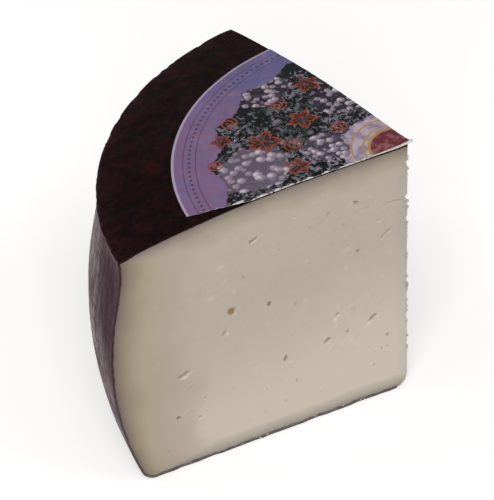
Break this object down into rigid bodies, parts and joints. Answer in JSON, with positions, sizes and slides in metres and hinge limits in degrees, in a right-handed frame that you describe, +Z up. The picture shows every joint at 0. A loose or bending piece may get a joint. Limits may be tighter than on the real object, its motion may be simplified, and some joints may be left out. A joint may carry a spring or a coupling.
{
  "type": "wedge of wine-washed goat cheese",
  "caption": "Wedge of a small goat cheese wheel: white close paste, thin dark wine-washed rind, bulging side, flat base and a piece of round paper label on the crown",
  "frame": {"origin": "on the base plane, under the middle of the wedge's bounding box", "axes": "+Z up out of the crown; the front cut face looks along -Y; the tip of the wedge points to +X and the rind side to -X"},
  "size_m": [0.093, 0.0862, 0.0865],
  "materials": {
    "cheese_paste": "smooth, slightly waxy off-white goat's milk paste with a dark wine-stained rind a millimetre thick",
    "label_paper": "thin printed paper, satin, white where it is cut"
  },
  "bodies": {
    "root": {"cheese": "cheese_paste", "label": "label_paper"}
  },
  "joints": []
}
